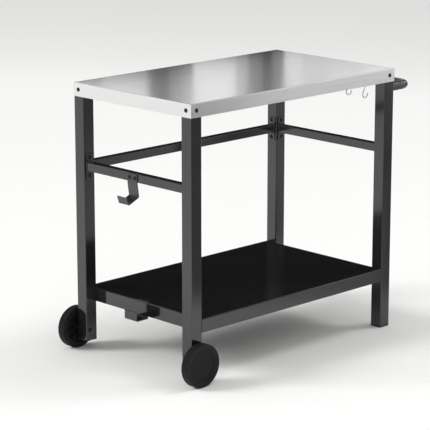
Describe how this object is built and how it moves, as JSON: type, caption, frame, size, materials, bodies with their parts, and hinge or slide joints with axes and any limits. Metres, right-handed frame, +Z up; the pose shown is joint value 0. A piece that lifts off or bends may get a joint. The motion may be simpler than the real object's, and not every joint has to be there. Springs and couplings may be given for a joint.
{
  "type": "rolling grill table",
  "caption": "Rolling outdoor grill table with a stainless worktop, black square-tube frame, lower shelf, wheels at one end, push handle with S-hooks, and a hook and bracket for a gas cylinder.",
  "frame": {"origin": "on the floor, under the middle of the whole table", "axes": "+X from the wheels towards the push handle, +Y from front to rear, +Z up"},
  "size_m": [1.0242, 0.56, 0.81],
  "materials": {
    "stainless": "fine straight brushing along the table, satin",
    "black_coat": "smooth black powder coat, satin gloss",
    "dark_screws": "blackened steel, satin",
    "zinc_steel": "zinc plated steel",
    "black_plastic": "moulded, fine grain",
    "wheel_plastic": "moulded, fine grain",
    "tyre_rubber": "matte rubber",
    "hook_wire": "bright plated wire"
  },
  "bodies": {
    "frame": {"worktop": "stainless", "worktop_stiffener": "stainless", "worktop_screws": "dark_screws", "leg_wheel_front": "black_coat", "leg_wheel_rear": "black_coat", "leg_handle_front": "black_coat", "leg_handle_rear": "black_coat", "foot_front": "black_plastic", "foot_rear": "black_plastic", "leg_plugs": "black_plastic", "rail_rear": "black_coat", "rail_wheel_end": "black_coat", "rail_handle_end": "black_coat", "rail_rear_plates": "black_coat", "rail_wheel_end_plates": "black_coat", "rail_handle_end_plates": "black_coat", "rail_rear_bolts": "dark_screws", "rail_wheel_end_bolts": "dark_screws", "rail_handle_end_bolts": "dark_screws", "threaded_inserts": "zinc_steel", "shelf": "black_coat", "shelf_stiffener": "black_coat", "shelf_bolts": "dark_screws", "tank_hook": "black_coat", "tank_hook_bolts": "dark_screws", "tank_bracket": "black_coat", "tank_bracket_bolts": "dark_screws", "tank_bracket_nuts": "zinc_steel", "axle_front": "dark_screws", "axle_rear": "dark_screws", "axle_bushings": "zinc_steel", "axle_washers": "zinc_steel", "axle_nuts": "zinc_steel", "axle_sleeves": "zinc_steel", "handle": "black_coat", "handle_plugs": "zinc_steel", "handle_bolts": "dark_screws"},
    "wheel_front": {"tyre_front": "tyre_rubber", "hub_front": "wheel_plastic", "hub_cover_front": "wheel_plastic"},
    "wheel_rear": {"tyre_rear": "tyre_rubber", "hub_rear": "wheel_plastic", "hub_cover_rear": "wheel_plastic"},
    "s_hook_1_body": {"s_hook_1": "hook_wire"},
    "s_hook_2_body": {"s_hook_2": "hook_wire"},
    "s_hook_3_body": {"s_hook_3": "hook_wire"},
    "s_hook_4_body": {"s_hook_4": "hook_wire"}
  },
  "joints": [
    {"name": "wheel_front_spin", "type": "hinge", "parent": "frame", "child": "wheel_front", "pos_m": [-0.44865, -0.267, 0.0635], "axis": [0, 1, 0], "continuous": true},
    {"name": "wheel_rear_spin", "type": "hinge", "parent": "frame", "child": "wheel_rear", "pos_m": [-0.44865, 0.267, 0.0635], "axis": [0, 1, 0], "continuous": true},
    {"name": "s_hook_1_swing", "type": "hinge", "parent": "frame", "child": "s_hook_1_body", "pos_m": [0.49685, -0.1035, 0.746], "axis": [0, 1, 0], "range_deg": [-75, 75]},
    {"name": "s_hook_2_swing", "type": "hinge", "parent": "frame", "child": "s_hook_2_body", "pos_m": [0.49685, -0.0345, 0.746], "axis": [0, 1, 0], "range_deg": [-75, 75]},
    {"name": "s_hook_3_swing", "type": "hinge", "parent": "frame", "child": "s_hook_3_body", "pos_m": [0.49685, 0.0345, 0.746], "axis": [0, 1, 0], "range_deg": [-75, 75]},
    {"name": "s_hook_4_swing", "type": "hinge", "parent": "frame", "child": "s_hook_4_body", "pos_m": [0.49685, 0.1035, 0.746], "axis": [0, 1, 0], "range_deg": [-75, 75]}
  ]
}
